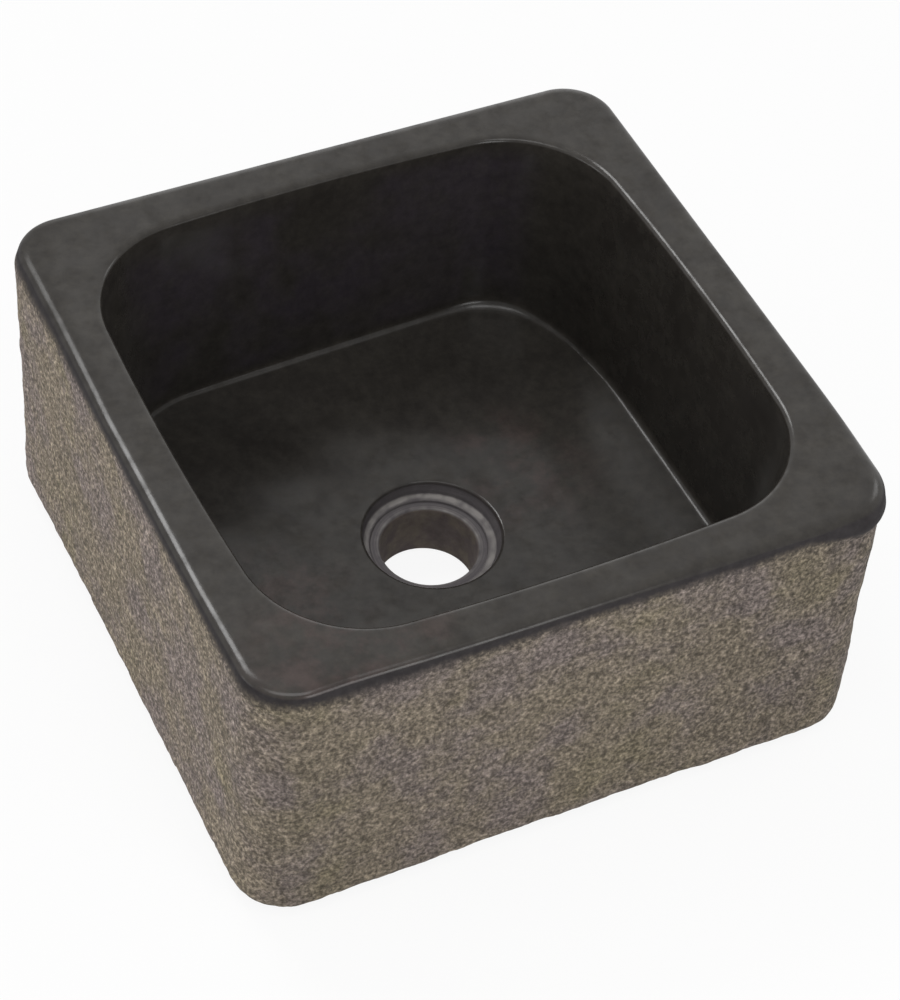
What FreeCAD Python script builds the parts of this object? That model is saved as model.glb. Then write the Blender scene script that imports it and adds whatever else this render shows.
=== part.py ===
"""Square stone vessel basin: one carved block on soft pads, with a seal ring round its drain.

The rim, the bowl and the drain are honed, and the outside is left rough. The basin is centred on
the Z axis, its pads stand on z = 0, and its front face looks along -Y. Sizes are in millimetres.
"""
import FreeCAD, Part
import math
import os

import Sketcher
from FreeCAD import Placement, Rotation, Vector

doc = FreeCAD.newDocument("stone_vessel_basin")

# Driving dimensions
sizes = {
    # Block
    "width": 300.0,
    "height": 150.0,
    "corner_radius": 25.0,
    "top_edge_radius": 9.0,
    "base_edge_radius": 11.0,
    # Bowl: the sides of its mouth bow outwards, and its walls lean in towards the floor
    "rim_width": 22.0,
    "mouth_corner_radius": 54.0,
    "mouth_side_radius": 1430.0,
    "mouth_edge_radius": 4.0,
    "wall_lean": 6.5,
    "floor_thickness": 42.6,
    "floor_edge_radius": 3.2,
    "floor_fall": 6.9,
    # Drain: a bore right through, a ledge round it, and a recess whose shelf takes a waste's flange
    "bore_radius": 23.0,
    "ledge_width": 4.4,
    "ledge_depth": 1.6,
    "shelf_width": 4.6,
    "recess_depth": 6.0,
    "recess_cove_radius": 1.2,
    "drain_edge_radius": 1.0,
    # Soft pieces under the base
    "pad_radius": 16.0,
    "pad_thickness": 2.0,
    "pad_edge_chamfer": 0.5,
    "pad_inset": 45.0,
    "seal_gap": 7.0,
    "seal_width": 9.0,
}
sheet = doc.addObject("Spreadsheet::Sheet", "Sizes")
for row, (alias, number) in enumerate(sizes.items(), start=1):
    sheet.set(f"A{row}", alias)
    sheet.set(f"B{row}", str(number))
    sheet.setAlias(f"B{row}", alias)
doc.recompute()

# What follows from the driving dimensions
HALF_WIDTH = "Sizes.width / 2"
HALF_MOUTH = "Sizes.width / 2 - Sizes.rim_width"
HALF_FLOOR = "Sizes.width / 2 - Sizes.rim_width - Sizes.wall_lean"
FLOOR_CORNER = "Sizes.mouth_corner_radius - Sizes.wall_lean"
LEDGE_RADIUS = "Sizes.bore_radius + Sizes.ledge_width"
RECESS_RADIUS = "Sizes.bore_radius + Sizes.ledge_width + Sizes.shelf_width"
DRAIN_LEVEL = "Sizes.floor_thickness - Sizes.floor_fall"
RECESS_LEVEL = "Sizes.floor_thickness - Sizes.floor_fall - Sizes.recess_depth"
LEDGE_LEVEL = "Sizes.floor_thickness - Sizes.floor_fall - Sizes.recess_depth - Sizes.ledge_depth"

# Names for the points of a sketch's curves, its axes and its origin
START, END, CENTRE = range(1, 4)
X_AXIS, Y_AXIS = range(-1, -3, -1)
ORIGIN = (X_AXIS, START)
UP = Vector(0, 0, 1)
# Edges are found by where they lie, to this distance
NEAR = 0.05


def value(expression):
    """The number that an expression on the sheet gives."""
    return float(sheet.evalExpression(expression))


def new_body(name):
    body = doc.addObject("PartDesign::Body", name)
    body.Label = name
    return body


def new_sketch(body, name, plane="XY_Plane", lift="0"):
    """A sketch on one of the body's origin planes, lifted along that plane's normal."""
    support = next(p for p in body.Origin.OriginFeatures if p.Role == plane)
    sketch = body.newObject("Sketcher::SketchObject", name)
    sketch.AttachmentSupport = [(support, "")]
    sketch.MapMode = "FlatFace"
    sketch.AttachmentOffset = Placement(Vector(0, 0, value(lift)), Rotation())
    sketch.setExpression("AttachmentOffset.Base.z", lift)
    return sketch


def relate(sketch, kind, *places):
    return sketch.addConstraint(Sketcher.Constraint(kind, *places))


def dimension(sketch, name, expression, kind, *places):
    """A named dimension of the sketch that follows an expression on the sheet."""
    index = relate(sketch, kind, *places, value(expression))
    sketch.renameConstraint(index, name)
    sketch.setExpression("Constraints." + name, expression)


def add_arc(sketch, x, y, radius, first, last):
    """An arc about (x, y) from one angle to another, anticlockwise, in degrees."""
    circle = Part.Circle(Vector(x, y, 0), UP, radius)
    return sketch.addGeometry(Part.ArcOfCircle(circle, math.radians(first), math.radians(last)))


def draw_circle(sketch, radius, name="radius"):
    circle = sketch.addGeometry(Part.Circle(Vector(), UP, value(radius)))
    relate(sketch, "Coincident", circle, CENTRE, *ORIGIN)
    dimension(sketch, name, radius, "Radius", circle)


def draw_rounded_square(sketch, half, corner_radius):
    """Four straight sides joined by four tangent corner arcs, centred on the origin."""
    radius = value(corner_radius)
    place = value(half) - radius
    arcs = []
    for i, (x, y) in enumerate([(1, 1), (-1, 1), (-1, -1), (1, -1)]):
        arcs.append(add_arc(sketch, x * place, y * place, radius, 90 * i, 90 * i + 90))
    for i, arc in enumerate(arcs):
        following = arcs[(i + 1) % 4]
        ends = (sketch.getPoint(arc, END), sketch.getPoint(following, START))
        side = sketch.addGeometry(Part.LineSegment(*ends))
        relate(sketch, "Tangent", arc, END, side, START)
        relate(sketch, "Tangent", side, END, following, START)
        relate(sketch, "Horizontal" if i % 2 == 0 else "Vertical", side)
    relate(sketch, "Equal", arcs[0], arcs[2])
    relate(sketch, "Symmetric", arcs[0], CENTRE, arcs[2], CENTRE, *ORIGIN)
    dimension(sketch, "corner_radius", corner_radius, "Radius", arcs[0])
    dimension(sketch, "corner_x", f"{half} - {corner_radius}", "DistanceX", *ORIGIN, arcs[0], CENTRE)
    dimension(sketch, "corner_y", f"{half} - {corner_radius}", "DistanceY", *ORIGIN, arcs[0], CENTRE)


def draw_bowed_square(sketch, half, side_radius, corner_radius):
    """Four sides that are shallow arcs bowed outwards, joined by four tangent corner arcs.

    A side's centre lies on an axis, beyond the origin. A corner's arc touches the side's from
    inside, so the two centres lie as far apart as the radii differ.
    """
    side = value(side_radius)
    corner = value(corner_radius)
    back = side - value(half)
    place = (math.sqrt(2 * (side - corner) ** 2 - back ** 2) - back) / 2
    turn = math.degrees(math.atan2(place, place + back))
    sides = []
    corners = []
    for i, (x, y) in enumerate([(1, 0), (0, 1), (-1, 0), (0, -1)]):
        along = 90 * i
        sides.append(add_arc(sketch, -x * back, -y * back, side, along - turn, along + turn))
        centre = ((x - y) * place, (x + y) * place)
        corners.append(add_arc(sketch, *centre, corner, along + turn, along + 90 - turn))
    for i in range(4):
        relate(sketch, "Tangent", sides[i], END, corners[i], START)
        relate(sketch, "Tangent", corners[i], END, sides[(i + 1) % 4], START)
        relate(sketch, "PointOnObject", sides[i], CENTRE, X_AXIS if i % 2 == 0 else Y_AXIS)
    for other in range(1, 4):
        relate(sketch, "Equal", sides[0], sides[other])
        relate(sketch, "Equal", corners[0], corners[other])
    dimension(sketch, "side_radius", side_radius, "Radius", sides[0])
    dimension(sketch, "corner_radius", corner_radius, "Radius", corners[0])
    beyond = f"{side_radius} - ({half})"
    dimension(sketch, "right", beyond, "DistanceX", sides[0], CENTRE, *ORIGIN)
    dimension(sketch, "back", beyond, "DistanceY", sides[1], CENTRE, *ORIGIN)
    dimension(sketch, "left", beyond, "DistanceX", *ORIGIN, sides[2], CENTRE)
    dimension(sketch, "front", beyond, "DistanceY", *ORIGIN, sides[3], CENTRE)


def draw_stairs(sketch, steps):
    """A stepped half profile beside the sketch's upright axis, from its top step down to zero.

    Each step gives its radius and the level of its upper end, widest and highest first.
    """
    corners = [Vector(0, value(steps[0][1]), 0)]
    for i, (radius, level) in enumerate(steps):
        foot = value(steps[i + 1][1]) if i + 1 < len(steps) else 0
        corners.append(Vector(value(radius), value(level), 0))
        corners.append(Vector(value(radius), foot, 0))
    corners.append(Vector())
    lines = []
    for first, last in zip(corners, corners[1:] + corners[:1]):
        lines.append(sketch.addGeometry(Part.LineSegment(first, last)))
    for i, line in enumerate(lines):
        relate(sketch, "Coincident", line, END, lines[(i + 1) % len(lines)], START)
        relate(sketch, "Horizontal" if i % 2 == 0 else "Vertical", line)
    relate(sketch, "Coincident", lines[-1], START, *ORIGIN)
    for i, (radius, level) in enumerate(steps):
        riser = lines[2 * i + 1]
        dimension(sketch, f"radius_{i}", radius, "DistanceX", *ORIGIN, riser, START)
        dimension(sketch, f"level_{i}", level, "DistanceY", *ORIGIN, riser, START)


def pad(body, sketch, name, length):
    feature = body.newObject("PartDesign::Pad", name)
    feature.Profile = sketch
    feature.Length = value(length)
    feature.setExpression("Length", length)
    doc.recompute()
    return feature


def cut_loft(body, name, upper, lower):
    """Take away the straight-sided funnel between two outlines."""
    feature = body.newObject("PartDesign::SubtractiveLoft", name)
    feature.Profile = upper
    feature.Sections = [lower]
    feature.Ruled = True
    doc.recompute()
    return feature


def edge_names(feature, chosen):
    """The names of the feature's edges that the test chooses."""
    return [f"Edge{i}" for i, edge in enumerate(feature.Shape.Edges, start=1) if chosen(edge)]


def round_edges(body, name, radius, chosen):
    """Round the edges of the body's last feature that the test chooses."""
    base = body.Tip
    feature = body.newObject("PartDesign::Fillet", name)
    feature.Base = (base, edge_names(base, chosen))
    feature.Radius = value(radius)
    feature.setExpression("Radius", radius)
    doc.recompute()
    return feature


def lies_at(edge, level):
    """Whether an edge lies in the level plane at that height."""
    box = edge.BoundBox
    return abs(box.ZMin - level) < NEAR and abs(box.ZMax - level) < NEAR


def lies_within(edge, half):
    """Whether an edge stays inside the upright square of that half width round the Z axis."""
    box = edge.BoundBox
    return max(-box.XMin, box.XMax, -box.YMin, box.YMax) < half + NEAR


# Stone basin: a squared block with a bowl sunk in its top and a stepped drain through its floor
basin = new_body("stone_basin")

plan = new_sketch(basin, "block_plan")
draw_rounded_square(plan, HALF_WIDTH, "Sizes.corner_radius")
pad(basin, plan, "block", "Sizes.height")

top = value("Sizes.height")
round_edges(basin, "top_edge", "Sizes.top_edge_radius", lambda edge: lies_at(edge, top))
round_edges(basin, "base_edge", "Sizes.base_edge_radius", lambda edge: lies_at(edge, 0))

mouth = new_sketch(basin, "mouth_outline", lift="Sizes.height")
draw_bowed_square(mouth, HALF_MOUTH, "Sizes.mouth_side_radius", "Sizes.mouth_corner_radius")
floor_line = new_sketch(basin, "floor_outline", lift="Sizes.floor_thickness")
draw_bowed_square(floor_line, HALF_FLOOR, "Sizes.mouth_side_radius", FLOOR_CORNER)
cut_loft(basin, "bowl", mouth, floor_line)

floor_level = value("Sizes.floor_thickness")
round_edges(basin, "floor_edge", "Sizes.floor_edge_radius", lambda edge: lies_at(edge, floor_level))

half_mouth = value(HALF_MOUTH)
round_edges(
    basin,
    "mouth_edge",
    "Sizes.mouth_edge_radius",
    lambda edge: lies_at(edge, top) and lies_within(edge, half_mouth),
)

fall_line = new_sketch(basin, "fall_outline", lift="Sizes.floor_thickness")
draw_bowed_square(
    fall_line,
    HALF_FLOOR + " - Sizes.floor_edge_radius",
    "Sizes.mouth_side_radius",
    FLOOR_CORNER + " - Sizes.floor_edge_radius",
)
drain_line = new_sketch(basin, "drain_outline", lift=DRAIN_LEVEL)
draw_circle(drain_line, RECESS_RADIUS)
cut_loft(basin, "floor_fall", fall_line, drain_line)

stairs = new_sketch(basin, "drain_profile", plane="XZ_Plane")
draw_stairs(
    stairs,
    [
        (RECESS_RADIUS, "Sizes.floor_thickness"),
        (LEDGE_RADIUS, RECESS_LEVEL),
        ("Sizes.bore_radius", LEDGE_LEVEL),
    ],
)
drain = basin.newObject("PartDesign::Groove", "drain")
drain.Profile = stairs
drain.ReferenceAxis = (stairs, ["V_Axis"])
drain.Angle = 360
doc.recompute()

# The rounding of each step is kept within the wall and the shelf that it joins
drain_level = value(DRAIN_LEVEL)
recess_level = value(RECESS_LEVEL)
ledge_level = value(LEDGE_LEVEL)
recess_radius = value(RECESS_RADIUS)
ledge_radius = value(LEDGE_RADIUS)
bore_radius = value("Sizes.bore_radius")
round_edges(
    basin,
    "recess_cove",
    "min(Sizes.recess_cove_radius; Sizes.recess_depth / 2; Sizes.shelf_width / 2)",
    lambda edge: lies_at(edge, recess_level) and not lies_within(edge, ledge_radius),
)
round_edges(
    basin,
    "drain_edges",
    "min(Sizes.drain_edge_radius; Sizes.ledge_depth * 0.7; Sizes.recess_depth / 3)",
    lambda edge: (lies_at(edge, drain_level) and lies_within(edge, recess_radius))
    or (lies_at(edge, recess_level) and lies_within(edge, ledge_radius))
    or (lies_at(edge, ledge_level) and lies_within(edge, bore_radius)),
)
basin.setExpression("Placement.Base.z", "Sizes.pad_thickness")

# Base pads: four soft discs stuck to the flat of the base, one near each corner
PAD_PLACE = "Sizes.width / 2 - Sizes.pad_inset"
pads = []
for name, x, y in [
    ("front_left_pad", -1, -1),
    ("front_right_pad", 1, -1),
    ("back_left_pad", -1, 1),
    ("back_right_pad", 1, 1),
]:
    body = new_body(name)
    disc = new_sketch(body, name + "_plan")
    draw_circle(disc, "Sizes.pad_radius")
    slab = pad(body, disc, name + "_disc", "Sizes.pad_thickness")
    bevel = body.newObject("PartDesign::Chamfer", name + "_bevel")
    bevel.Base = (slab, edge_names(slab, lambda edge: lies_at(edge, 0)))
    bevel.setExpression("Size", "Sizes.pad_edge_chamfer")
    body.setExpression("Placement.Base.x", f"{x} * ({PAD_PLACE})")
    body.setExpression("Placement.Base.y", f"{y} * ({PAD_PLACE})")
    pads.append(body)

# Drain seal: a soft ring under the base, clear of the bore, that keeps splashes off the counter
seal = new_body("drain_seal")
ring = new_sketch(seal, "seal_plan")
draw_circle(ring, "Sizes.bore_radius + Sizes.seal_gap", "inner_radius")
draw_circle(ring, "Sizes.bore_radius + Sizes.seal_gap + Sizes.seal_width", "outer_radius")
pad(seal, ring, "seal_ring", "Sizes.pad_thickness")

# Nothing is written unless every feature was made and every piece is one sound solid
doc.recompute()
for item in doc.Objects:
    if "Invalid" in item.State or "Error" in item.State:
        raise RuntimeError(f"{item.Name} was not made: {item.State}")
pieces = [basin, *pads, seal]
for piece in pieces:
    if piece.Shape.isNull() or not piece.Shape.isValid() or len(piece.Shape.Solids) != 1:
        raise RuntimeError(f"{piece.Label} is not one sound solid")
os.makedirs("parts", exist_ok=True)
for piece in pieces:
    piece.Shape.exportStep(f"parts/{piece.Label}.step")
    box = piece.Shape.BoundBox
    print(f"{piece.Label}: {piece.Shape.Volume:.0f} mm3, z {box.ZMin:.2f} to {box.ZMax:.2f}")
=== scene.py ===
import math

import bpy
import numpy as np
from mathutils import Matrix, Vector


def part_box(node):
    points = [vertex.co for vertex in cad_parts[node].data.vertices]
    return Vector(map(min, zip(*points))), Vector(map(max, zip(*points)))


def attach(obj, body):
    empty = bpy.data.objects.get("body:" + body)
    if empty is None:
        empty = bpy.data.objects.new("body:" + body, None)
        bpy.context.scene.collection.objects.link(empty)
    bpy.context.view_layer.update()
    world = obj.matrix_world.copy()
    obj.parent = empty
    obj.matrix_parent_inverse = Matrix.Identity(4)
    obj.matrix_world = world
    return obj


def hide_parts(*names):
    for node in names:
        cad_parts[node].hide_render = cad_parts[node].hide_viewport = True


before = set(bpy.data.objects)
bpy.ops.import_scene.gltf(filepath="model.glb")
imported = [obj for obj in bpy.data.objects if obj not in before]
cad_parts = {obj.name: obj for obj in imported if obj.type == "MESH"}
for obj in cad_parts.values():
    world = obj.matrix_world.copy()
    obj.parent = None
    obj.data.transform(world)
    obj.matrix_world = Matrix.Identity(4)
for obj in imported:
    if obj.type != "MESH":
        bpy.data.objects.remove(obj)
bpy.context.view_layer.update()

# Stone basin
# One block of dark stone, carved by hand. The rim, the bowl and the stepped drain are honed to a
# satin face, and the sides are left as the bush hammer leaves them: pale, pitted and a little uneven.
block_low, block_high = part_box("stone_basin")
base_level = block_low.z
top_level = block_high.z
half_width = block_high.x
corner_radius = 0.025
edge_width = 0.0053
edge_height = 0.0028
edge_fullness = 2.3
base_edge = 0.011

# The bowl's mouth and floor, which the carver set a little askew
half_mouth = 0.1275
mouth_corner = 0.0531
mouth_edge = 0.0040
mouth_edge_height = 0.0027
mouth_fullness = 2.1
mouth_shift = (-0.0008, -0.0011)
mouth_turn = math.radians(0.55)
mouth_bow = 1 / 1.43
half_floor = 0.1220
floor_corner = 0.0520
floor_edge = 0.0034
floor_dish = 0.12
dish_start = 0.58
floor_level = base_level + 0.0426
floor_shift = (0.0010, -0.0002)
floor_turn = math.radians(2.6)
floor_edge_turn = math.radians(2.2)
floor_skew = 0.034
floor_bow = 1 / 20.0

# The drain's recess, shelf, ledge and bore, whose centres differ by a millimetre or two
drain_shift = (0.0014, -0.0010)
drain_level = base_level + 0.0357
recess_shift = (0.0030, -0.0004)
recess_radius = 0.0322
recess_edge = 0.0019
recess_level = drain_level - 0.006
shelf_shift = (0.0020, -0.0008)
shelf_radius = 0.0313
recess_cove = 0.0010
ledge_radius = 0.0274
ledge_level = recess_level - 0.0016
step_lean = 0.0006
bore_radius = 0.023
drain_edge = 0.0014
bore_foot_edge = 0.0006

# Points round the outside and the inside, and rows of points across the inside's parts
rays_outside = 656
rays_inside = rays_outside // 2
rim_rows = 2
mouth_rows = 8
wall_rows = 15
fillet_rows = 8
floor_rows = 16
lip_rows = 5
base_rows = 8

# The column of a station that holds its level, and the curvature of a side that counts as straight
LEVEL = 3
STRAIGHT = 1e-4


def station(half, corner, level, bow=STRAIGHT, shift=(0.0, 0.0), turn=0.0, skew=0.0):
    """One level outline of the block: a square of that half width with round corners and bowed sides.

    bow is the curvature of its sides, shift and turn place it in plan, skew leans it along x, and a
    circle is an outline whose corner radius is its half width.
    """
    return np.array([half, corner, bow, level, *shift, turn, skew])


def run(first, last, steps, dish=0.0):
    """Evenly spaced stations from the first up to, but without, the last.

    The levels run straight too, apart from the share named dish. That share is lost at the start, along
    a parabola that levels out at dish_start, so that the floor rises towards the wall.
    """
    way = np.linspace(0, 1, steps, endpoint=False)
    rows = first + (last - first) * way[:, None]
    rise = np.clip((1 - way - dish_start) / (1 - dish_start), 0, 1) ** 2
    rows[:, LEVEL] = last[LEVEL] + (first[LEVEL] - last[LEVEL]) * ((1 - dish) * (1 - way) + dish * rise)
    return rows


def rounded(first, last, steps, upright_first, fullness=2.0):
    """Stations along a quarter of an oval from the first up to, but without, the last.

    It leaves the first upright and meets the last level, or the other way round. The oval is the
    curve |x|^n + |y|^n = 1, an ellipse for a fullness n of 2 and squarer above that.
    """
    angle = np.linspace(0, math.pi / 2, steps, endpoint=False)
    early, late = np.sin(angle) ** (2 / fullness), 1 - np.cos(angle) ** (2 / fullness)
    rise, inset = (early, late) if upright_first else (late, early)
    rows = first + (last - first) * inset[:, None]
    rows[:, LEVEL] = first[LEVEL] + (last[LEVEL] - first[LEVEL]) * rise
    return rows


def ray_lengths(angles, half, corner, bow):
    """How far a ray from the middle of a bowed square runs to its outline.

    The outline repeats every eighth of a turn. There a side is an arc about a point on the axis and
    a corner is an arc about a point on the diagonal, and a ray meets an arc about c of radius R at
    d.c + sqrt((d.c)^2 - c.c + R^2), where d is the ray's direction.
    """
    folded = np.abs((angles + math.pi / 4) % (math.pi / 2) - math.pi / 4)
    side = 1 / bow
    back = side - half
    diagonal = (np.sqrt(2 * (side - corner) ** 2 - back ** 2) - back) / 2
    to_side = np.sqrt(side ** 2 - (back * np.sin(folded)) ** 2) - back * np.cos(folded)
    towards = diagonal * (np.cos(folded) + np.sin(folded))
    to_corner = towards + np.sqrt(towards ** 2 - 2 * diagonal ** 2 + corner ** 2)
    side_end = side * np.sin(np.arctan2(diagonal, diagonal + back))
    return np.where(to_side * np.sin(folded) <= side_end, to_side, to_corner)


def skin(stations, angles):
    """Points of a surface: row by row the stations, and along each row the rays at those angles.

    A point lies at its ray's length times (cos + skew sin, sin) of its angle, plus the shift.
    """
    half, corner, bow, level, shift_x, shift_y, turn, skew = (c[:, None] for c in stations.T)
    length = ray_lengths(angles - turn, half, corner, bow)
    x = length * (np.cos(angles) + skew * np.sin(angles)) + shift_x
    y = length * np.sin(angles) + shift_y
    return np.stack([x, y, level + 0 * length], axis=-1)


def ripple(points, shortest, longest, waves, seed):
    """An even random field of unit spread: the sum of plane waves of random direction and phase."""
    draw = np.random.default_rng(seed)
    directions = draw.normal(size=(waves, 3))
    directions /= np.linalg.norm(directions, axis=1, keepdims=True)
    lengths = draw.uniform(shortest, longest, (waves, 1))
    phases = draw.uniform(0, 2 * math.pi, waves)
    return np.cos(points @ (2 * math.pi * directions / lengths).T + phases).sum(-1) * math.sqrt(2 / waves)


def ease(value, begin, end):
    """A smooth step, 3t^2 - 2t^3, from 0 at begin to 1 at end."""
    t = np.clip((value - begin) / (end - begin), 0, 1)
    return t * t * (3 - 2 * t)


def bell(bearings, centre, spread):
    """A bell curve over bearings: exp(-d^2 / 2), d being the degrees from the centre over the spread."""
    return np.exp(-0.5 * ((bearings - math.radians(centre)) / math.radians(spread)) ** 2)


def sector(bearings, begin, full, fade, end):
    """1 between the bearings full and fade, in degrees, with smooth steps from begin and down to end."""
    begin, full, fade, end = np.radians([begin, full, fade, end])
    return ease(bearings, begin, full) * (1 - ease(bearings, fade, end))


def grid_normals(points):
    """Outward unit normals of a grid that closes on itself along its rows.

    A normal is the cross product of the step along the row and the step between rows.
    """
    along_row = np.roll(points, -1, axis=1) - np.roll(points, 1, axis=1)
    between_rows = np.gradient(points, axis=0)
    normals = np.cross(along_row, between_rows)
    return normals / np.linalg.norm(normals, axis=-1, keepdims=True)


# Angles whose rays cut the outer outline into equal lengths, and the same as bearings from +X, signed
fine_steps = 40000
fine = np.linspace(0, 2 * math.pi, fine_steps + 1)
outline = ray_lengths(fine, half_width, corner_radius, STRAIGHT)
steps = np.hypot(np.diff(outline * np.cos(fine)), np.diff(outline * np.sin(fine)))
perimeter = np.concatenate([[0], np.cumsum(steps)])
shares = np.arange(rays_outside) / rays_outside
angles = np.interp(shares * perimeter[-1], perimeter, fine)
inner_angles = angles[::2]
bearings = (angles + math.pi) % (2 * math.pi) - math.pi
inner_bearings = bearings[::2]

base_rim = station(half_width - base_edge, corner_radius - base_edge, base_level)
side_foot = station(half_width, corner_radius, base_level + base_edge)
side_head = station(half_width, corner_radius, top_level - edge_height)
rim_outer = station(half_width - edge_width, corner_radius - edge_width, top_level)
outside = np.concatenate([
    rounded(base_rim, side_foot, 10, upright_first=False),
    run(side_foot, side_head, 76),
    rounded(side_head, rim_outer, 14, upright_first=True, fullness=edge_fullness),
    rim_outer[None],
])

mouth_place = (mouth_bow, mouth_shift, mouth_turn)
floor_place = (floor_bow, floor_shift, floor_turn, floor_skew)
floor_edge_place = (floor_bow, floor_shift, floor_edge_turn, floor_skew)
rim_inner = station(half_mouth + mouth_edge, mouth_corner + mouth_edge, top_level, *mouth_place)
wall_head = station(half_mouth, mouth_corner, top_level - mouth_edge_height, *mouth_place)
wall_foot = station(half_floor, floor_corner, floor_level + floor_edge, *floor_place)
floor_rim = station(half_floor - floor_edge, floor_corner - floor_edge, floor_level, *floor_edge_place)


def ring(radius, level, shift=drain_shift):
    """A round station of the drain: a square whose corner radius is its half width."""
    return station(radius, radius, level, STRAIGHT, shift)


recess_mouth = ring(recess_radius + recess_edge, drain_level, recess_shift)
recess_head = ring(recess_radius, drain_level - recess_edge, recess_shift)
recess_foot = ring(shelf_radius, recess_level + recess_cove, shelf_shift)
shelf_rim = ring(shelf_radius - recess_cove, recess_level, shelf_shift)
shelf_end = ring(ledge_radius + drain_edge, recess_level)
step_head = ring(ledge_radius, recess_level - drain_edge)
step_foot = ring(ledge_radius - step_lean, ledge_level)
ledge_end = ring(bore_radius + drain_edge, ledge_level)
bore_head = ring(bore_radius, ledge_level - drain_edge)
bore_foot = ring(bore_radius, base_level + bore_foot_edge)
bore_end = ring(bore_radius + bore_foot_edge, base_level)

inside = np.concatenate([
    run(rim_outer * 0.5 + rim_inner * 0.5, rim_inner, rim_rows),
    rounded(rim_inner, wall_head, mouth_rows, upright_first=False, fullness=mouth_fullness),
    run(wall_head, wall_foot, wall_rows),
    rounded(wall_foot, floor_rim, fillet_rows, upright_first=True),
    run(floor_rim, recess_mouth, floor_rows, floor_dish),
    rounded(recess_mouth, recess_head, lip_rows, upright_first=False),
    run(recess_head, recess_foot, 2),
    rounded(recess_foot, shelf_rim, 5, upright_first=True),
    run(shelf_rim, shelf_end, 2),
    rounded(shelf_end, step_head, 4, upright_first=False),
    rounded(step_head, step_foot, 3, upright_first=True),
    run(step_foot, ledge_end, 2),
    rounded(ledge_end, bore_head, 4, upright_first=False),
    run(bore_head, bore_foot, 5),
    rounded(bore_foot, bore_end, 3, upright_first=True),
    run(bore_end, base_rim, base_rows),
])
fillet_start = rim_rows + mouth_rows + wall_rows
floor_start = fillet_start + fillet_rows
lip_start = floor_start + floor_rows
fillet = slice(fillet_start, floor_start + 1)
open_floor = slice(floor_start + 1, lip_start)
lip = slice(lip_start, lip_start + lip_rows)
on_base = np.arange(len(inside)) >= len(inside) - base_rows

outer_points = skin(outside, angles)
inner_points = skin(inside, inner_angles)

# The edge is rounded off most broadly over the front right corner, down to broad_foot below it
broad_width = 0.0042
broad_foot = 0.025
at_corner = bell(bearings, -44, 6)
rim_depth = top_level - outside[:, LEVEL]
on_edge = rim_depth <= edge_height
inset = np.clip((half_width - outside[:, 0]) / edge_width, 0, 1) * on_edge
below_edge = np.clip(1 - (rim_depth - edge_height) / broad_foot, 0, 1)
lowered = np.where(on_edge, rim_depth / edge_height, below_edge)
outward = grid_normals(outer_points)[len(outside) // 2]
outer_points -= outward * (broad_width * at_corner * inset[:, None])[..., None]
outer_points[..., 2] -= broad_width * at_corner * lowered[:, None]

# The honed edge leans in more towards some corners, as the grinder left it: bearing and millimetres
edge_leans = np.array([
    (-180, 0.4), (-151, 0.5), (-140, 1.6), (-126, 3.6), (-117, 2.2), (-108, 1.5), (-80, 1.2), (-55, 1.4),
    (-45, 2.0), (-30, 2.0), (0, 2.0), (45, 2.4), (90, 2.4), (130, 2.6), (150, 2.1), (172, 0.3),
])
lean_height = 0.0085
lean = 0.001 * np.interp(angles, np.radians(edge_leans[:, 0]), edge_leans[:, 1], period=2 * math.pi)
raised = np.clip(1 - rim_depth / lean_height, 0, 1)
outer_points -= outward * (lean * raised[:, None])[..., None]

# Relief of the rough sides, always inwards, so that the block keeps its size
deepest_relief = 0.0022
corner_hollow = 0.0012
swell = ripple(outer_points, 0.030, 0.090, 30, seed=3)
pecks = ripple(outer_points, 0.0034, 0.0075, 90, seed=5)
chips = ripple(outer_points, 0.0075, 0.016, 60, seed=8)
hollows = np.clip(pecks - 0.4, 0, None)
relief = 0.00055 + 0.00022 * swell - 0.00011 * pecks + 0.00020 * hollows + 0.00014 * chips
relief = np.clip(relief, 0.0, deepest_relief) * ease(rim_depth, 0.008, 0.014)[:, None]
under_corner = ease(rim_depth, 0.006, 0.010) * (1 - ease(rim_depth, 0.06, 0.12))
relief += corner_hollow * at_corner * under_corner[:, None]
outer_points -= grid_normals(outer_points) * relief[..., None]

# The honed faces are a little wavy, as hand polishing leaves them, and never stand proud
drain_reach = 0.036
inner_depth = top_level - inside[:, LEVEL]
waves = ripple(inner_points, 0.030, 0.065, 40, seed=11)
wavy = ease(inner_depth, 0.003, 0.02) * (inside[:, 0] > drain_reach) * ~on_base
waviness = (0.00035 + 0.00014 * waves) * wavy[:, None]
inner_points -= grid_normals(inner_points) * np.clip(waviness, 0, None)[..., None]

# The floor was cut less far into its back right corner than into the others
uncut_start = 0.04
uncut = 0.0062 * bell(inner_bearings, 39, 7.5)
bowl_depth = np.clip(inner_depth / (top_level - floor_level), 0, 1)
from_drain = np.clip((inside[:, 0] - uncut_start) / (half_floor - floor_edge - uncut_start), 0, 1)
carried = bowl_depth * from_drain * ~on_base
inwards = -np.stack([np.cos(inner_angles), np.sin(inner_angles)], axis=-1)
inner_points[..., :2] += inwards * (uncut * carried[:, None])[..., None]

# The cutter also left a wider fillet there, which runs further up the wall and further out on the floor
wall_slope = 0.11
turning = np.linspace(0, math.pi / 2, fillet_rows + 1)[:, None]
wider = 0.0026 * bell(inner_bearings, 54, 6.5)
climb = wider * (1 - np.sin(turning))
inner_points[fillet, :, 2] += climb
inner_points[fillet, :, :2] += inwards * (wider * (1 - np.cos(turning)) - wall_slope * climb)[..., None]

outer_count = outer_points.shape[0] * rays_outside
inner_count = inner_points.shape[0] * rays_inside
basin_points = np.concatenate([outer_points.reshape(-1, 3), inner_points.reshape(-1, 3)])


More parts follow.
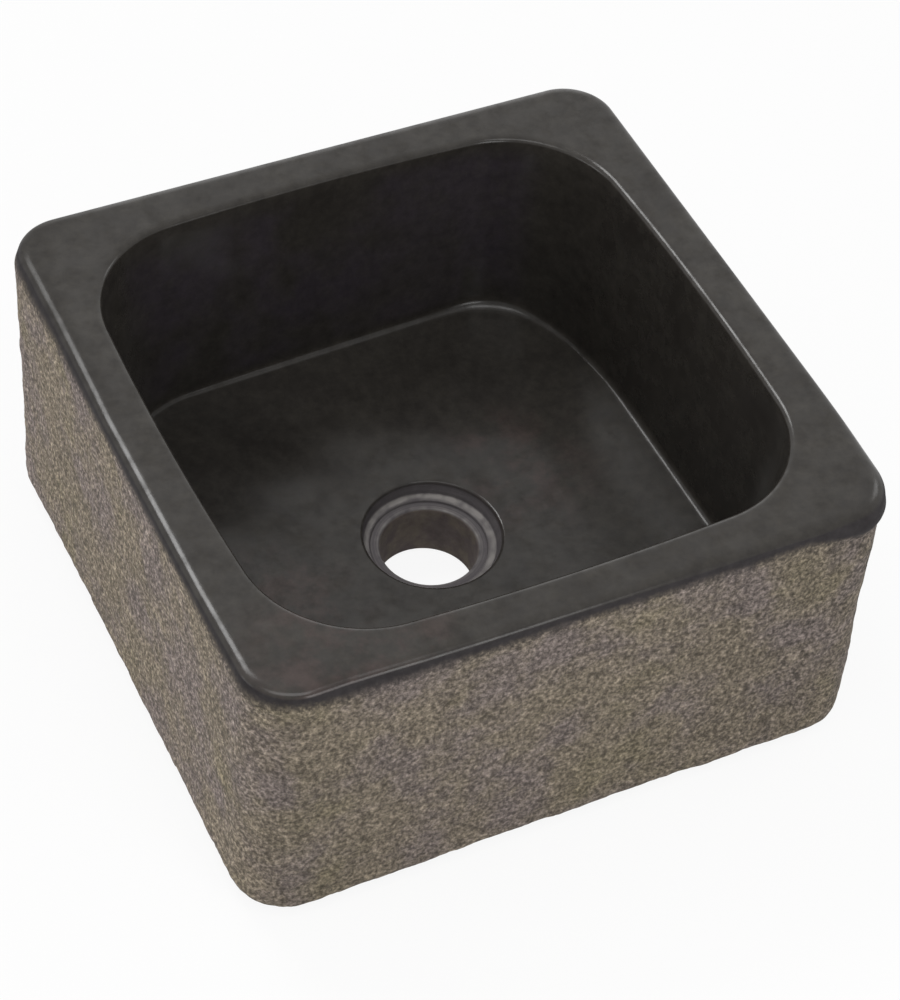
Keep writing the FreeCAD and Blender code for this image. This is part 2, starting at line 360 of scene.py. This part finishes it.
def grid_faces(rows, columns, first):
    """Quads between neighbouring rows of a grid that closes on itself along its rows."""
    row = first + columns * np.arange(rows - 1)[:, None]
    column = np.arange(columns)
    following = (column + 1) % columns
    corners = [row + column, row + following, row + columns + following, row + columns + column]
    return np.stack(corners, axis=-1).reshape(-1, 4)


def seam_faces(fine_first, coarse_first, coarse_after):
    """Triangles that join a row of rays_outside points to one of half as many, three to each step."""
    k = np.arange(rays_inside)
    c0, c1 = coarse_first + k, coarse_first + (k + 1) % rays_inside
    f0, f1 = fine_first + 2 * k, fine_first + 2 * k + 1
    f2 = fine_first + (2 * k + 2) % rays_outside
    sets = [(f0, f1, c0), (f1, c1, c0), (f1, f2, c1)]
    if not coarse_after:
        sets = [(b, a, c) for a, b, c in sets]
    return np.concatenate([np.stack(s, axis=-1) for s in sets])


basin_quads = np.concatenate([
    grid_faces(outer_points.shape[0], rays_outside, 0),
    grid_faces(inner_points.shape[0], rays_inside, outer_count),
])
basin_triangles = np.concatenate([
    seam_faces(outer_count - rays_outside, outer_count, coarse_after=True),
    seam_faces(0, outer_count + inner_count - rays_inside, coarse_after=False),
])


def smooth_piece(name, points, quads, triangles=np.zeros((0, 3), int)):
    """A smooth-shaded mesh object from arrays of points, quads and triangles."""
    mesh = bpy.data.meshes.new(name)
    corners = np.concatenate([quads.ravel(), triangles.ravel()])
    sizes = np.concatenate([np.full(len(quads), 4), np.full(len(triangles), 3)])
    mesh.vertices.add(len(points))
    mesh.vertices.foreach_set("co", points.astype(np.float32).ravel())
    mesh.loops.add(len(corners))
    mesh.loops.foreach_set("vertex_index", corners.astype(np.int32))
    mesh.polygons.add(len(sizes))
    mesh.polygons.foreach_set("loop_start", (np.cumsum(sizes) - sizes).astype(np.int32))
    mesh.update(calc_edges=True)
    mesh.shade_smooth()
    mesh.validate()
    piece = bpy.data.objects.new(name, mesh)
    bpy.context.scene.collection.objects.link(piece)
    return piece


def add_mark(name, on_outside, on_inside):
    """A named value at each point of the basin, for its material to read."""
    mark = basin.data.attributes.new(name, "FLOAT", "POINT")
    outer = np.broadcast_to(on_outside, (len(outside), rays_outside))
    inner = np.broadcast_to(on_inside, (len(inside), rays_inside))
    values = np.concatenate([outer.ravel(), inner.ravel()])
    mark.data.foreach_set("value", values.astype(np.float32))


basin = smooth_piece("carved_basin", basin_points, basin_quads, basin_triangles)

# How deep a point of the outside lies below the rim. The base counts as deep, because it is rough too
add_mark("depth", rim_depth[:, None], 0.15 * on_base[:, None])

# Which faces were drilled: the bore fully, the recess by half, and the recess's worn lip a little
lip_wear = [0, 0.06, 0.13, 0.21, 0.30]
slack = 0.0001
in_bore = (inside[:, 0] < bore_radius + 2 * slack) & (inside[:, LEVEL] < ledge_level)
in_recess = (inside[:, 0] < recess_radius + slack) & (inside[:, LEVEL] < drain_level) & ~on_base
drilling = 0.5 * in_recess + 0.5 * in_bore
drilling[lip] = lip_wear
add_mark("drilled", 0, drilling[:, None])

# Where the honed face is scuffed dull: the floor's right side and its fillet, the fillet's back right
# corner and its back left stretch, and the edge of the rim over the back left corner
fillet_scuff = np.array([0.12, 0.12, 0.12, 0.14, 0.17, 0.23, 0.40, 0.62, 0.80])
from_wall = np.arange(1, floor_rows)[:, None] / floor_rows
scuff = np.zeros((len(inside), rays_inside))
scuff[open_floor] = (0.82 - 0.25 * ease(from_wall, -0.02, 0.20)) * (1 - ease(from_wall, 0.40, 0.75))
scuff[fillet] = fillet_scuff[:, None]
scuff *= sector(inner_bearings, -62, -34, 30, 48)
scuff[fillet] += 0.35 * bell(inner_bearings, 46, 5)
scuff[fillet] += 0.30 * sector(inner_bearings, 105, 130, 148, 172)
edge_scuff = 0.40 * sector(angles, 120, 135, 150, 190) * on_edge[:, None]
add_mark("scuff", edge_scuff, scuff)

# How pale each ring of the drain is painted, from the bore out to the recess's wall: millimetres
# from the axis and paleness. The paleness is partly the drilled stone's own and partly a painted highlight
# on the rounded steps
drill_rings = np.array([
    (23.0, 0.2), (23.8, 0.6), (24.8, 0.1), (27.6, 0.0), (28.8, 0.7), (30.3, 1.0), (31.0, 0.3), (31.4, 0.0),
])
ring_paleness_and_highlight = in_recess * np.interp(inside[:, 0], 0.001 * drill_rings[:, 0], drill_rings[:, 1])
# Painted light: the rings are painted palest on the far side and darkest on the near side
ring_paleness_and_highlight = ring_paleness_and_highlight[:, None] * (0.72 + 0.28 * np.cos(inner_angles - math.radians(65)))
ring_paleness_and_highlight *= 1 + 0.35 * ripple(inner_points, 0.003, 0.012, 60, seed=17)
add_mark("pale_rings_and_highlight", 0, ring_paleness_and_highlight)


class Wire:
    """An output of a material's node, on which arithmetic adds Math nodes."""

    def __init__(self, tree, socket=None):
        self.tree = tree
        self.socket = socket

    def node(self, kind, settings=None, sockets=None, output=0):
        """A new node: its settings first, then values or wires on its inputs. Gives one output."""
        made = self.tree.nodes.new(kind)
        for setting, choice in (settings or {}).items():
            setattr(made, setting, choice)
        for key, source in (sockets or {}).items():
            if isinstance(source, Wire):
                self.tree.links.new(source.socket, made.inputs[key])
            else:
                made.inputs[key].default_value = source
        return Wire(self.tree, made.outputs[output] if len(made.outputs) else None)

    def math(self, operation, first, second):
        return self.node("ShaderNodeMath", {"operation": operation}, {0: first, 1: second})

    def __add__(self, other):
        return self.math("ADD", self, other)

    def __sub__(self, other):
        return self.math("SUBTRACT", self, other)

    def __rsub__(self, other):
        return self.math("SUBTRACT", other, self)

    def __mul__(self, other):
        return self.math("MULTIPLY", self, other)

    __radd__ = __add__
    __rmul__ = __mul__

    def larger(self, other):
        """The larger of two values."""
        return self.math("MAXIMUM", self, other)

    def ease(self, begin, end):
        """A smooth step from 0 at begin to 1 at end."""
        limits = {"Value": self, "From Min": begin, "From Max": end}
        return self.node("ShaderNodeMapRange", {"interpolation_type": "SMOOTHSTEP"}, limits)

    def blend(self, first, second):
        """The first colour where this is 0, the second where it is 1."""
        return self.node("ShaderNodeMix", {"data_type": "RGBA"}, {0: self, 6: first, 7: second}, 2)

    def scale(self, colour):
        """A colour made lighter or darker by this, or a vector made longer or shorter."""
        return self.node("ShaderNodeVectorMath", {"operation": "SCALE"}, {0: colour, "Scale": self})

    def vector(self, operation, other, output=0):
        """Vector arithmetic between this place and another, or a fixed vector."""
        return self.node("ShaderNodeVectorMath", {"operation": operation}, {0: self, 1: other}, output)

    def distance(self, point):
        """How far this place lies from a point."""
        return self.vector("DISTANCE", point, "Value")

    def noise(self, size, detail=2.0, rough=0.5):
        """Cloudy noise, about 0 to 1, of that size in metres, at this place."""
        sockets = {"Vector": self, "Scale": 1 / size, "Detail": detail, "Roughness": rough}
        return self.node("ShaderNodeTexNoise", None, sockets)


def tint(red, green, blue):
    """A colour written as display values from 0 to 255, for a shader."""
    parts = [v / 255 for v in (red, green, blue)]
    return (*[((v + 0.055) / 1.055) ** 2.4 if v > 0.04045 else v / 12.92 for v in parts], 1.0)


def new_finish(name):
    """An empty material and a wire to start its nodes from."""
    finish = bpy.data.materials.new(name)
    finish.use_nodes = True
    finish.node_tree.nodes.clear()
    return finish, Wire(finish.node_tree)


stone, stone_nodes = new_finish("honed_and_hammered_stone")
place = stone_nodes.node("ShaderNodeTexCoord", output="Object")
sideways, backwards, upwards = (
    stone_nodes.node("ShaderNodeSeparateXYZ", None, {0: place}, axis) for axis in "XYZ")
depth, drilled, scuffed, pale_rings_and_highlight = (
    stone_nodes.node("ShaderNodeAttribute", {"attribute_name": mark}, output="Fac")
    for mark in ("depth", "drilled", "scuff", "pale_rings_and_highlight"))

# Honed stone: near black and warm, with faint clouds, brown stains and fine flecks. The back wall has a
# violet cast and a painted reflection in a pale streak, the walls are painted a little darker as painted
# shade, and a patch of the floor at the back carries a painted shadow
stain_places = (((-0.10, -0.135, 0.152), 0.06), ((-0.08, -0.02, 0.045), 0.05), ((0.06, 0.02, 0.045), 0.05))
# The middle of the painted shadow on the floor at the back
painted_shadow_place = (-0.085, 0.065, 0.045)
# The lean of the painted reflection streak on the back wall
painted_streak_lean = 0.104
honed_index = 1.42
clouds = place.noise(0.025, 6, 0.7)
flecks = place.noise(0.006, 5, 0.7)
flecked = 0.45 + 1.1 * flecks
honed_colour = clouds.ease(0.32, 0.68).blend(tint(45, 42, 39), tint(54, 51, 47))
back_wall = backwards.ease(0.108, 0.122) * upwards.ease(0.046, 0.054) * (1 - upwards.ease(0.135, 0.150))
violet = back_wall * place.noise(0.05, 3).ease(0.40, 0.60)
honed_colour = violet.blend(honed_colour, tint(54, 49, 54))
stain_noise = place.noise(0.02, 4, 0.65).ease(0.40, 0.62)
for centre, reach in stain_places:
    stain = stain_noise * (1 - place.distance(centre).ease(0.4 * reach, reach))
    honed_colour = (0.85 * stain).blend(honed_colour, tint(64, 53, 50))
# Painted reflection: a pale streak on the back wall, leaning with height, that ends sharply where the
# corner begins
along_wall = sideways - painted_streak_lean * upwards
painted_reflection_streak = back_wall * along_wall.ease(-0.02, 0.065) * (1 - along_wall.ease(0.0665, 0.0725))
honed_colour = (0.55 * painted_reflection_streak).blend(honed_colour, tint(66, 61, 65))
# Painted shade: the bowl's walls are painted 14 percent darker than the rim and the floor
on_wall = upwards.ease(0.044, 0.050) * (1 - upwards.ease(0.140, 0.150))
# Painted shadow: a patch of the floor at the back is painted up to about a quarter darker
painted_shadow_patch = (1 - place.distance(painted_shadow_place).ease(0.025, 0.075)) * (1 - on_wall)
honed_colour = (flecked * (1 - 0.14 * on_wall - 0.26 * painted_shadow_patch)).scale(honed_colour)
gloss = 0.14 + 0.12 * place.noise(0.012, 5, 0.6)
honed = stone_nodes.node("ShaderNodeBsdfPrincipled", None, {
    "Base Color": honed_colour, "Roughness": gloss, "IOR": honed_index})

# Hammered stone: pale grains and dark pits a millimetre or two wide, drawn out a little along the slant
# of the blows, in olive and violet patches. The left side is painted paler as painted light, with its
# grains' contrast raised as painted relief shading, and the right side a little darker as painted shade
slant = (-0.33, -0.59, 0.74)
slant_stretch = 0.25
along_slant = place.vector("DOT_PRODUCT", slant, "Value")
drawn = place.vector("SUBTRACT", (slant_stretch * along_slant).scale(slant))
grains = drawn.noise(0.0018, 2, 0.65)
pits = drawn.noise(0.0045, 2, 0.5)
on_left = 1 - sideways.ease(-0.150, -0.135)
patches = place.noise(0.05, 4, 0.6)
hues = place.noise(0.035, 4, 0.6)
rough_colour = hues.ease(0.40, 0.66).blend(tint(126, 116, 102), tint(121, 111, 106))
rough_colour = patches.ease(0.50, 0.72).blend(rough_colour, tint(124, 115, 96))
# The grains' contrast is raised on the left side as painted relief shading, where the left lamp rakes
# across them
grit_and_painted_relief = (grains - 0.5) * (3.1 + 1.3 * on_left) + (pits - 0.5) * 0.8
# Painted light and shade: the hammered faces are painted brighter on the left side, which the left lamp
# lights, and a little darker towards the right
painted_side_light = 1.01 - 0.22 * sideways.ease(-0.152, -0.135) - 0.08 * sideways.ease(-0.02, 0.14)

# Ground stone: dark and dull, a band under the honed edge that wanders and is broadest at the front
# right corner, and the worn spots of the honed faces
corner_place = (0.143, -0.143, 0.147)
corner_drop = 0.0045
near_corner = 1 - place.distance(corner_place).ease(0.012, 0.045)
wander = (place.noise(0.03, 3) - 0.5) * 0.005
band = depth + wander - corner_drop * near_corner
bare = (band + 0.004 * (grains - 0.5)).ease(0.0038 - 0.0008 * on_left, 0.0105 + 0.0014 * on_left)
coarse = band.ease(0.0045, 0.0080)
shade = painted_side_light + coarse * (grit_and_painted_relief + 0.5 * grit_and_painted_relief * grit_and_painted_relief)
worn_colour = flecks.ease(0.30, 0.70).blend(tint(42, 39, 36), tint(54, 51, 46))
ground_colour = flecks.ease(0.30, 0.70).blend(tint(41, 38, 39), tint(53, 50, 51))
dark_colour = depth.ease(0.0004, 0.0014).blend(worn_colour, ground_colour)
raw_colour = bare.blend(dark_colour, shade.scale(rough_colour))

# Drilled stone: a brown bore, and rings round it grey to pale, partly a painted highlight, with fine turned
# lines
line_width = 0.0010
bore_colour = place.noise(0.010, 4, 0.6).ease(0.4, 0.62).blend(tint(108, 99, 97), tint(122, 113, 104))
from_axis = place.vector("MULTIPLY", (1, 1, 0)).distance((*shelf_shift, 0))
lines = stone_nodes.node("ShaderNodeTexNoise", {"noise_dimensions": "1D"}, {
    "W": from_axis, "Scale": 1 / line_width, "Detail": 2.0})
ring_shade = pale_rings_and_highlight + 0.6 * (flecks - 0.5) + 0.7 * (lines - 0.5)
ring_colour = ring_shade.blend(tint(90, 86, 88), tint(143, 139, 136))
drilled_colour = drilled.ease(0.5, 1.0).blend(ring_colour, flecked.scale(bore_colour))
raw_colour = drilled.ease(0.0, 0.4).blend(raw_colour, drilled_colour)
raw_colour = (1 - 0.25 * scuffed).scale(raw_colour)
bump = stone_nodes.node("ShaderNodeBump", None, {
    "Strength": 0.4, "Distance": 0.0006, "Height": grit_and_painted_relief * coarse})
raw = stone_nodes.node("ShaderNodeBsdfPrincipled", None, {
    "Base Color": raw_colour, "Roughness": 0.85, "Specular IOR Level": 0.2, "Normal": bump})

# The honed face gives way to the raw one down the edge, in the drain, and where it is worn or scuffed
worn = 0.5 * place.noise(0.011, 5, 0.7).ease(0.38, 0.74)
edge_end = (depth + 0.0010 * near_corner).ease(0.0016 - 0.0004 * on_left, 0.0026 - 0.0006 * on_left)
dull = edge_end.larger(drilled.ease(0.0, 0.6)).larger(worn + scuffed * (1 - worn))
stone_surface = stone_nodes.node("ShaderNodeMixShader", None, {0: dull, 1: honed, 2: raw})
stone_nodes.node("ShaderNodeOutputMaterial", None, {"Surface": stone_surface})
basin.data.materials.append(stone)
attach(basin, "root")
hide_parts("stone_basin")

# Base pads and drain seal
# Soft rubber discs stuck under the base near its corners keep the stone off the counter, and a ring
# of the same rubber round the bore keeps water out from under it.
pad_radius = 0.016
pad_thickness = base_level
pad_edge = 0.0006
seal_inner = 0.030
seal_outer = 0.039
rays_soft = 96


def rubber_ring(name, profile, centre):
    """A closed ring of rubber: a closed profile of radii and levels carried round an upright axis.

    A profile that starts and ends on the axis closes there with fans of triangles instead.
    """
    around = np.arange(rays_soft) * 2 * math.pi / rays_soft
    on_axis = profile[0, 0] == 0
    rows = profile[1:-1] if on_axis else profile
    x = rows[:, :1] * np.cos(around) + centre[0]
    y = rows[:, :1] * np.sin(around) + centre[1]
    points = np.stack([x, y, rows[:, 1:] + 0 * x], axis=-1).reshape(-1, 3)
    quads = grid_faces(len(rows), rays_soft, 0)
    here, following = np.arange(rays_soft), (np.arange(rays_soft) + 1) % rays_soft
    last = (len(rows) - 1) * rays_soft
    if on_axis:
        poles = [[*centre, profile[0, 1]], [*centre, profile[-1, 1]]]
        points = np.concatenate([points, poles])
        foot, head = here * 0 + len(points) - 2, here * 0 + len(points) - 1
        fans = [np.stack([foot, following, here], -1), np.stack([last + here, last + following, head], -1)]
        return smooth_piece(name, points, quads, np.concatenate(fans))
    closing = np.stack([last + here, last + following, following, here], axis=-1)
    return smooth_piece(name, points, np.concatenate([quads, closing]))


def bend(radius, level, reach, first, last):
    """Five points on an arc of that reach about a radius and level, from one angle to another."""
    angle = np.radians(np.linspace(first, last, 5))
    return np.stack([radius + reach * np.cos(angle), level + reach * np.sin(angle)], axis=-1)


rubber, rubber_nodes = new_finish("matt_rubber")
bloom = rubber_nodes.node("ShaderNodeTexCoord", output="Object").noise(0.004, 3)
rubber_colour = bloom.ease(0.35, 0.7).blend(tint(34, 34, 35), tint(48, 47, 46))
rubber_surface = rubber_nodes.node("ShaderNodeBsdfPrincipled", None, {
    "Base Color": rubber_colour, "Roughness": 0.6 + 0.25 * bloom})
rubber_nodes.node("ShaderNodeOutputMaterial", None, {"Surface": rubber_surface})

# Two shallow grooves in the foot of each pad, as radii and levels
grooves = np.array([[0.004, 0], [0.0045, 0.0004], [0.0065, 0.0004], [0.007, 0], [0.0105, 0],
                    [0.011, 0.0004], [0.013, 0.0004], [0.0135, 0]])
pad_profile = np.concatenate([
    [[0, 0]],
    grooves,
    bend(pad_radius - pad_edge, pad_edge, pad_edge, -90, 0),
    bend(pad_radius - pad_edge, pad_thickness - pad_edge, pad_edge, 0, 90),
    [[0, pad_thickness]],
])
for node in ("front_left_pad", "front_right_pad", "back_left_pad", "back_right_pad"):
    pad_low, pad_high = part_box(node)
    pad_centre = ((pad_low.x + pad_high.x) / 2, (pad_low.y + pad_high.y) / 2)
    pad = rubber_ring(node + "_rubber", pad_profile, pad_centre)
    pad.data.materials.append(rubber)
    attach(pad, "root")
    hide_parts(node)

seal_profile = np.concatenate([
    bend(seal_outer - pad_edge, pad_edge, pad_edge, -90, 0),
    bend(seal_outer - pad_edge, pad_thickness - pad_edge, pad_edge, 0, 90),
    bend(seal_inner + pad_edge, pad_thickness - pad_edge, pad_edge, 90, 180),
    bend(seal_inner + pad_edge, pad_edge, pad_edge, 180, 270),
])
seal = rubber_ring("drain_seal_rubber", seal_profile, (0.0, 0.0))
seal.data.materials.append(rubber)
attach(seal, "root")
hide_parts("drain_seal")

# Studio floor
# A wide pale sheet that the basin stands on. The camera sees it near white, with the basin's shadow.
sheet_half = 3.0
sheet_glow = 0.9
sheet_mesh = bpy.data.meshes.new("floor")
sheet_corners = [(-sheet_half, -sheet_half, 0), (sheet_half, -sheet_half, 0),
                 (sheet_half, sheet_half, 0), (-sheet_half, sheet_half, 0)]
sheet_mesh.from_pydata(sheet_corners, [], [(0, 1, 2, 3)])
sheet = bpy.data.objects.new("floor", sheet_mesh)
bpy.context.scene.collection.objects.link(sheet)


def seen_directly(nodes):
    """1 where the camera looks straight at a thing, or sees it in a gloss or through a clear body."""
    camera_ray, glossy_ray, clear_ray = (
        nodes.node("ShaderNodeLightPath", output=ray)
        for ray in ("Is Camera Ray", "Is Glossy Ray", "Is Transmission Ray"))
    return nodes.math("MINIMUM", camera_ray + glossy_ray + clear_ray, 1.0)


sheet_finish, sheet_nodes = new_finish("pale_floor")
paper = sheet_nodes.node("ShaderNodeBsdfDiffuse", None, {"Color": tint(238, 238, 238)})
white = sheet_nodes.node("ShaderNodeEmission", None, {"Color": (1, 1, 1, 1), "Strength": 1.0})
sheet_surface = sheet_nodes.node("ShaderNodeMixShader", None, {
    0: seen_directly(sheet_nodes) * sheet_glow, 1: paper, 2: white})
sheet_nodes.node("ShaderNodeOutputMaterial", None, {"Surface": sheet_surface})
sheet.data.materials.append(sheet_finish)

# Light
# A white surround that is dimmer on the camera's side in what is mirrored, and six soft lamps round the
# basin. The small and the faint ones are there for the lines of light along its edges.
surround = 0.50
front_loss = 0.32
world = bpy.data.worlds.new("studio")
bpy.context.scene.world = world
world.use_nodes = True
world.node_tree.nodes.clear()
sky_nodes = Wire(world.node_tree)
direction = sky_nodes.node("ShaderNodeTexCoord", output="Generated")
towards_back = sky_nodes.node("ShaderNodeSeparateXYZ", None, {0: direction}, "Y").ease(-0.6, 0.5)
mirrored = sky_nodes.node("ShaderNodeLightPath", output="Is Glossy Ray")
strength = surround + (1 - surround) * seen_directly(sky_nodes) - front_loss * mirrored * (1 - towards_back)
sky = sky_nodes.node("ShaderNodeBackground", None, {"Color": (1, 1, 1, 1), "Strength": strength})
sky_nodes.node("ShaderNodeOutputWorld", None, {"Surface": sky})


def add_lamp(name, position, sizes, glow, along=(1, 0, 0)):
    """A lamp of that length and breadth that faces the basin, lengthwise along a direction.

    glow is how bright its face is: 1 would look white, and its power is glow times pi times its area.
    """
    lamp = bpy.data.lights.new(name, "AREA")
    lamp.shape = "RECTANGLE"
    lamp.size, lamp.size_y = sizes
    lamp.energy = glow * math.pi * lamp.size * lamp.size_y
    holder = bpy.data.objects.new(name, lamp)
    away = (Vector(position) - Vector((0, 0, 0.1))).normalized()
    breadth = away.cross(Vector(along)).normalized()
    facing = Matrix((breadth.cross(away), breadth, away)).transposed()
    holder.matrix_world = Matrix.Translation(position) @ facing.to_4x4()
    holder.visible_camera = False
    bpy.context.scene.collection.objects.link(holder)


# High behind, low on the left, low in front, small on the right, faint behind, and long overhead
add_lamp("back_lamp", (-0.31, 1.02, 1.50), (0.56, 0.56), 9.6)
add_lamp("left_lamp", (-1.70, 0.20, 0.40), (0.80, 0.80), 2.3, along=(0, 1, 0))
add_lamp("front_lamp", (0.055, -0.630, 0.385), (0.28, 0.32), 3.7)
add_lamp("right_lamp", (1.25, 0.18, 0.85), (0.30, 0.30), 3.5, along=(0, 1, 0))
add_lamp("low_lamp", (0.69, 1.69, 0.67), (1.0, 0.8), 0.55, along=(0.93, -0.37, 0))
add_lamp("top_lamp", (-0.24, -0.42, 1.35), (1.02, 0.46), 2.8, along=(0.94, -0.34, 0))

# Camera
# It stands in front on the left and looks down at the basin, rolled a little, as the photo was taken.
focal_pixels = 3036.3
image_height = 1000
sensor = 36.0
azimuth = math.radians(-29.62)
elevation = math.radians(47.69)
roll = math.radians(5.74)
distance = 1.36942
target = Vector((0.00187, -0.01559, 0.077))
back = Vector((
    math.sin(azimuth) * math.cos(elevation),
    -math.cos(azimuth) * math.cos(elevation),
    math.sin(elevation),
))
level_right = Vector((math.cos(azimuth), math.sin(azimuth), 0))
level_up = back.cross(level_right)
right = level_right * math.cos(roll) + level_up * math.sin(roll)
up = level_up * math.cos(roll) - level_right * math.sin(roll)
lens = bpy.data.cameras.new("camera")
lens.sensor_width = sensor
lens.lens = focal_pixels * sensor / image_height
camera = bpy.data.objects.new("camera", lens)
camera_axes = Matrix((right, up, back)).transposed().to_4x4()
camera.matrix_world = Matrix.Translation(target + back * distance) @ camera_axes
bpy.context.scene.collection.objects.link(camera)
bpy.context.scene.camera = camera
bpy.context.scene.view_settings.view_transform = "Standard"
